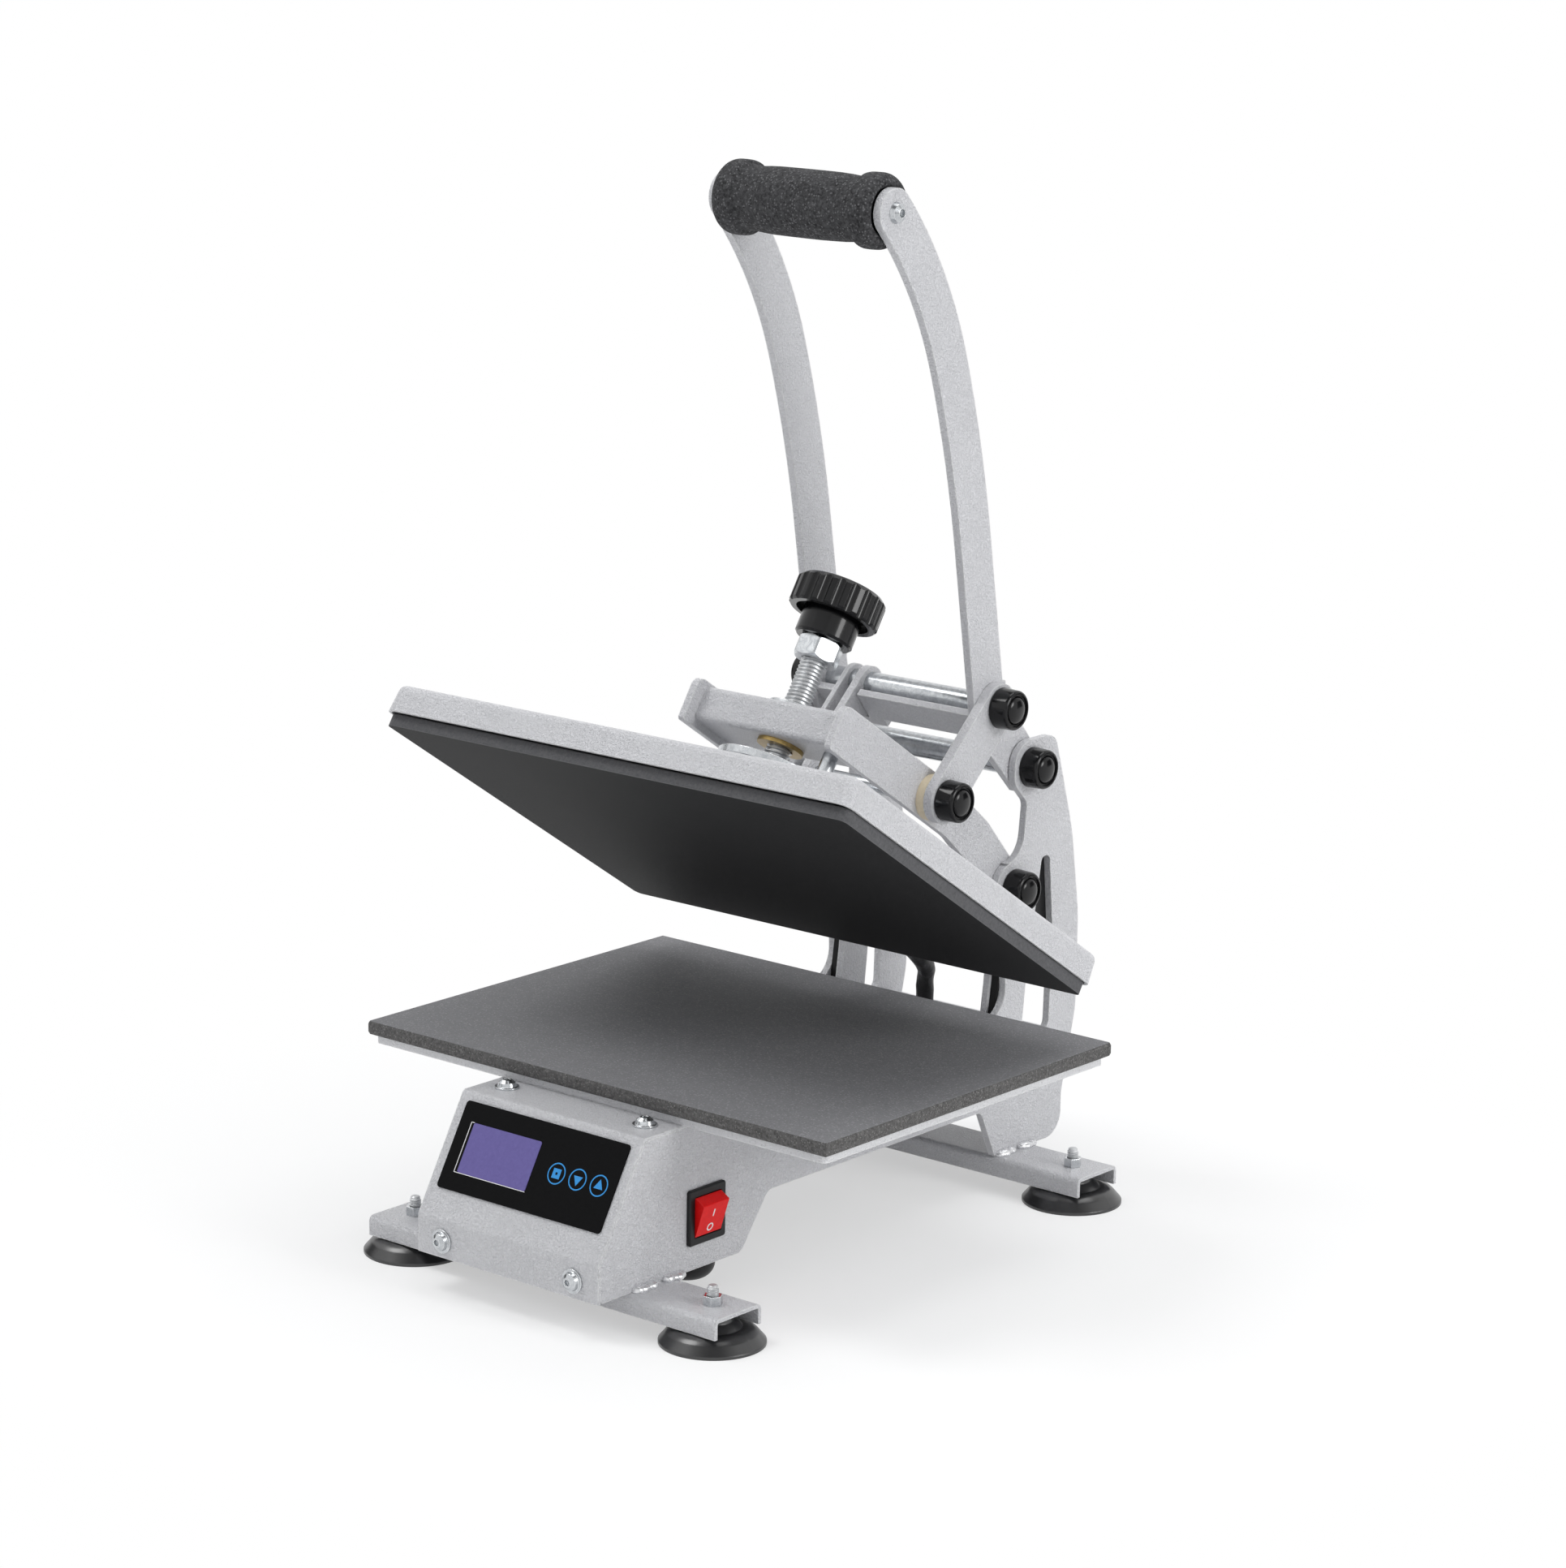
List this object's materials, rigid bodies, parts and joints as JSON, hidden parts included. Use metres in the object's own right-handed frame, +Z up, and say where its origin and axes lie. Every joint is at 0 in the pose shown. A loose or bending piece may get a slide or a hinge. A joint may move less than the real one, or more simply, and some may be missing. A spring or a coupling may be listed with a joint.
{
  "type": "clamshell heat press",
  "caption": "Small clamshell heat press: hinged heated upper platen over a padded lower platen, toggle handle, pressure spindle, control box and suction feet.",
  "frame": {"origin": "under the middle of the press's overall box, on the surface it stands on", "axes": "+Z up, +Y towards the hinge at the back, the control panel faces -Y, +X to the user's right"},
  "size_m": [0.3048, 0.3848, 0.5436],
  "materials": {
    "silver_coat": "fine hammered silver powder coat",
    "platen_silver": "satin",
    "steel_zinc": "bright zinc plate",
    "chrome_stud": "polished",
    "black_gloss": "glossy",
    "black_matte": "matte",
    "black_rubber": "smooth rubber",
    "foam": "speckled foam",
    "pad_silicone": "fine textured silicone",
    "coated_face": "black non-stick coat over cast aluminium",
    "nylon": "natural nylon",
    "brass": "satin",
    "panel_gloss": "glossy printed panel",
    "lcd": "lit display",
    "circuit": "circuit board",
    "switch_red": "red rocker",
    "insulation": "fibre blanket",
    "cable_sleeve": "braided black sleeve"
  },
  "bodies": {
    "base_frame": {"side_plate_left": "silver_coat", "side_plate_right": "silver_coat", "inner_plates": "silver_coat", "packing_plates": "black_matte", "rear_cross_plate": "silver_coat", "front_channel": "silver_coat", "rear_channel": "silver_coat", "suction_feet": "black_rubber", "foot_studs": "chrome_stud", "foot_nuts": "steel_zinc", "lower_platen": "platen_silver", "silicone_pad": "pad_silicone", "control_cover": "silver_coat", "cover_screws": "steel_zinc", "display_panel": "panel_gloss", "lcd_window": "lcd", "controller_board": "circuit", "relay_module": "black_matte", "base_tray": "silver_coat", "switch_housing": "black_matte", "inlet_gland": "black_matte", "cable_guides": "black_rubber", "heater_cable_lower": "cable_sleeve", "pivot_shafts": "steel_zinc", "pivot_caps": "black_gloss", "arm_spacer_tube": "steel_zinc"},
    "power_rocker": {"switch_rocker": "switch_red"},
    "arm": {"arm_plate_left": "silver_coat", "arm_plate_right": "silver_coat", "arm_crossbar": "silver_coat", "threaded_boss": "steel_zinc", "brass_washer": "brass", "link_pins": "steel_zinc", "nylon_washers": "nylon", "heater_cable_upper": "cable_sleeve"},
    "heating_platen": {"heating_plate": "coated_face", "heating_element": "platen_silver", "insulation_sheet": "insulation", "thermal_sensor": "platen_silver", "platen_cover": "silver_coat", "spindle_flange": "steel_zinc", "flange_screws": "steel_zinc", "guide_pin": "steel_zinc", "cable_gland": "black_matte"},
    "spindle": {"pressure_spindle": "steel_zinc", "lock_nut": "steel_zinc", "pressure_knob": "black_gloss"},
    "handle": {"handle_plate_left": "silver_coat", "handle_plate_right": "silver_coat", "handle_brace": "silver_coat", "grip_tube": "steel_zinc", "foam_grip": "foam", "grip_screws": "steel_zinc", "crank_shaft": "steel_zinc", "pivot_sleeve": "steel_zinc", "crank_caps": "black_gloss"},
    "link": {"link_plates": "silver_coat", "middle_links": "silver_coat", "link_pivot_shaft": "steel_zinc", "link_caps": "black_gloss"}
  },
  "joints": [
    {"name": "arm_hinge", "type": "hinge", "parent": "base_frame", "child": "arm", "pos_m": [0, 0.13475, 0.1635], "axis": [1, 0, 0], "range_deg": [0, 33], "deforming": ["heater_cable_lower"]},
    {"name": "handle_hinge", "type": "hinge", "parent": "base_frame", "child": "handle", "pos_m": [0, 0.14695, 0.227], "axis": [1, 0, 0], "range_deg": [0, 70.55]},
    {"name": "link_hinge", "type": "hinge", "parent": "handle", "child": "link", "pos_m": [0, 0.11775, 0.2634], "axis": [1, 0, 0], "range_deg": [-81.75, 0]},
    {"name": "platen_slide", "type": "slide", "parent": "arm", "child": "heating_platen", "axis": [0, 0.5446, 0.8387], "range_m": [0, 0.0048], "deforming": ["heater_cable_upper"]},
    {"name": "spindle_turn", "type": "hinge", "parent": "heating_platen", "child": "spindle", "pos_m": [0, 0.03009, 0.27499], "axis": [0, 0.5446, 0.8387], "range_deg": [0, 864.1]},
    {"name": "rocker_tilt", "type": "hinge", "parent": "base_frame", "child": "power_rocker", "pos_m": [0.06, -0.11045, 0.0463], "axis": [0, -1, 0], "range_deg": [0, 35.8]}
  ],
  "couplings": [
    {"joint": "handle_hinge", "follows": "arm_hinge", "ratio": 2.1363},
    {"joint": "link_hinge", "follows": "arm_hinge", "ratio": -2.4758},
    {"joint": "spindle_turn", "follows": "platen_slide", "rad_per_m": 3141.6}
  ]
}
